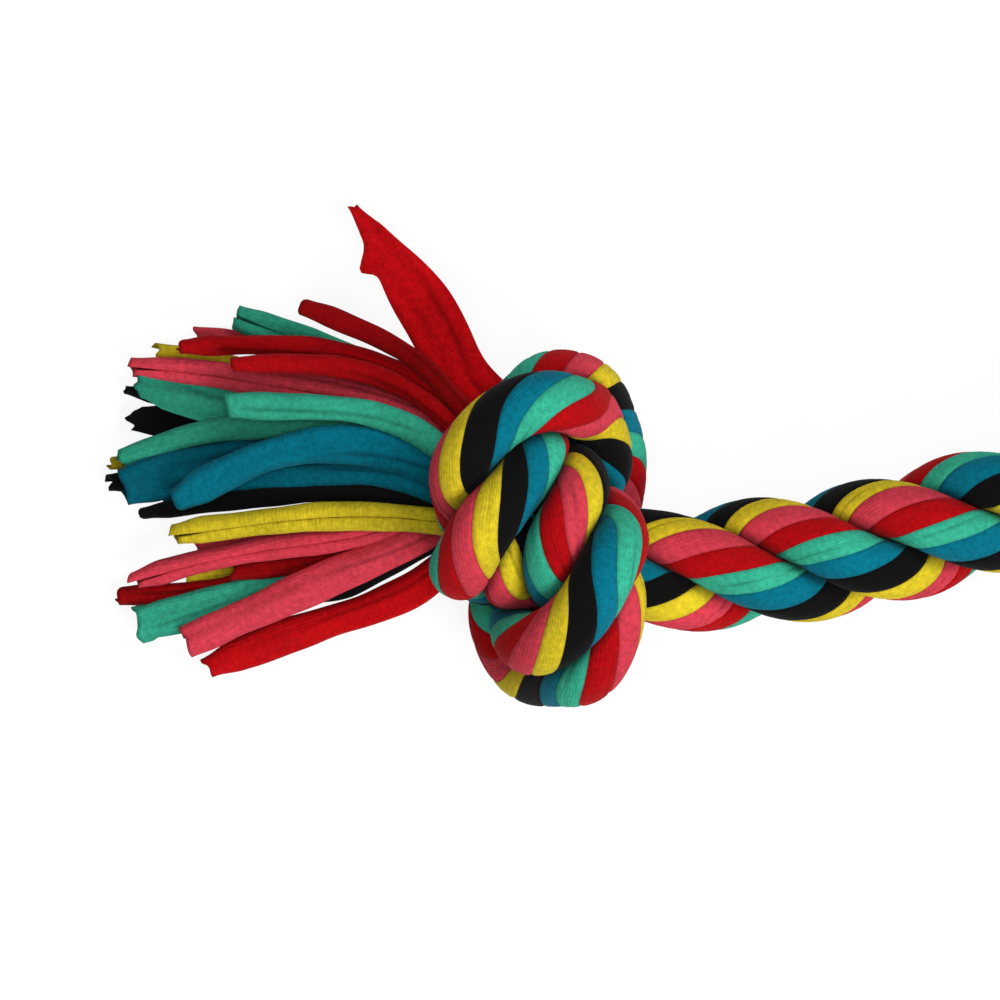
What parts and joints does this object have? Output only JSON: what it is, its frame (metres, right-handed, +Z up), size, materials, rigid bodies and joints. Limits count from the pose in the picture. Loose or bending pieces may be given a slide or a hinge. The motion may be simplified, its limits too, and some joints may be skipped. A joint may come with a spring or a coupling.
{
  "type": "rope dog toy",
  "caption": "Laid rope of coloured jersey strips with an overhand knot and a loose strip tassel at each end, for a dog to chew, fetch and tug.",
  "frame": {"origin": "middle of the toy on the surface that it lies on", "axes": "+X along the toy from the pictured end to its twin, +Z up"},
  "size_m": [0.381, 0.1366, 0.0624],
  "materials": {
    "red": "matte knitted cotton jersey",
    "pink": "matte knitted cotton jersey",
    "yellow": "matte knitted cotton jersey",
    "black": "matte knitted cotton jersey",
    "blue": "matte knitted cotton jersey",
    "green": "matte knitted cotton jersey"
  },
  "bodies": {
    "near_knot": {"near_strand_1": "red", "near_strand_2": "blue", "near_strand_3": "yellow"},
    "near_lock_upper": {"near_upper_red_leaf": "red", "near_upper_red_stick": "red", "near_upper_green_fork": "green", "near_upper_red_upper": "red", "near_upper_red_mid": "red", "near_upper_pink_upper": "pink"},
    "near_lock_top": {"near_top_green_main": "green", "near_top_green_lower": "green", "near_top_blue_wide": "blue", "near_top_blue_lower": "blue", "near_top_black_mid": "black", "near_top_yellow_main": "yellow"},
    "near_lock_lower": {"near_lower_pink_mid": "pink", "near_lower_red_low": "red", "near_lower_green_low": "green", "near_lower_pink_low": "pink", "near_lower_red_bottom": "red", "near_lower_black_low": "black"},
    "far_knot": {"far_strand_1": "red", "far_strand_2": "blue", "far_strand_3": "yellow"},
    "far_lock_upper": {"far_upper_red_leaf": "red", "far_upper_red_stick": "red", "far_upper_green_fork": "green", "far_upper_red_upper": "red", "far_upper_red_mid": "red", "far_upper_pink_upper": "pink"},
    "far_lock_top": {"far_top_green_main": "green", "far_top_green_lower": "green", "far_top_blue_wide": "blue", "far_top_blue_lower": "blue", "far_top_black_mid": "black", "far_top_yellow_main": "yellow"},
    "far_lock_lower": {"far_lower_pink_mid": "pink", "far_lower_red_low": "red", "far_lower_green_low": "green", "far_lower_pink_low": "pink", "far_lower_red_bottom": "red", "far_lower_black_low": "black"},
    "rope_near": {"middle_near_strand_1": "red", "middle_near_strand_2": "blue", "middle_near_strand_3": "yellow"},
    "rope_far": {"middle_far_strand_1": "red", "middle_far_strand_2": "blue", "middle_far_strand_3": "yellow"}
  },
  "joints": [
    {"name": "near_side_bend", "type": "hinge", "parent": "near_knot", "child": "rope_near", "pos_m": [-0.038, -0.00919, 0.02748], "axis": [0, 0, 1], "range_deg": [-60, 60]},
    {"name": "middle_bend", "type": "hinge", "parent": "rope_near", "child": "rope_far", "pos_m": [0, 0, 0.0275], "axis": [0.2513, -0.9679, 0], "range_deg": [-50, 50]},
    {"name": "far_side_bend", "type": "hinge", "parent": "rope_far", "child": "far_knot", "pos_m": [0.038, 0.00919, 0.02748], "axis": [0, 0, 1], "range_deg": [-60, 60]},
    {"name": "near_upper_lock_swing", "type": "hinge", "parent": "near_knot", "child": "near_lock_upper", "pos_m": [-0.12191, 0.01241, 0.02725], "axis": [0, 0, -1], "range_deg": [0, 25]},
    {"name": "near_top_lock_lift", "type": "hinge", "parent": "near_knot", "child": "near_lock_top", "pos_m": [-0.12181, 0.00209, 0.0347], "axis": [0, 1, 0], "range_deg": [0, 45]},
    {"name": "near_lower_lock_swing", "type": "hinge", "parent": "near_knot", "child": "near_lock_lower", "pos_m": [-0.12198, 0.0008, 0.02205], "axis": [0, 0, 1], "range_deg": [0, 25]},
    {"name": "far_upper_lock_swing", "type": "hinge", "parent": "far_knot", "child": "far_lock_upper", "pos_m": [0.12191, -0.01241, 0.02725], "axis": [0, 0, -1], "range_deg": [0, 25]},
    {"name": "far_top_lock_lift", "type": "hinge", "parent": "far_knot", "child": "far_lock_top", "pos_m": [0.12181, -0.00209, 0.0347], "axis": [0, -1, 0], "range_deg": [0, 45]},
    {"name": "far_lower_lock_swing", "type": "hinge", "parent": "far_knot", "child": "far_lock_lower", "pos_m": [0.12198, -0.0008, 0.02205], "axis": [0, 0, 1], "range_deg": [0, 25]}
  ]
}
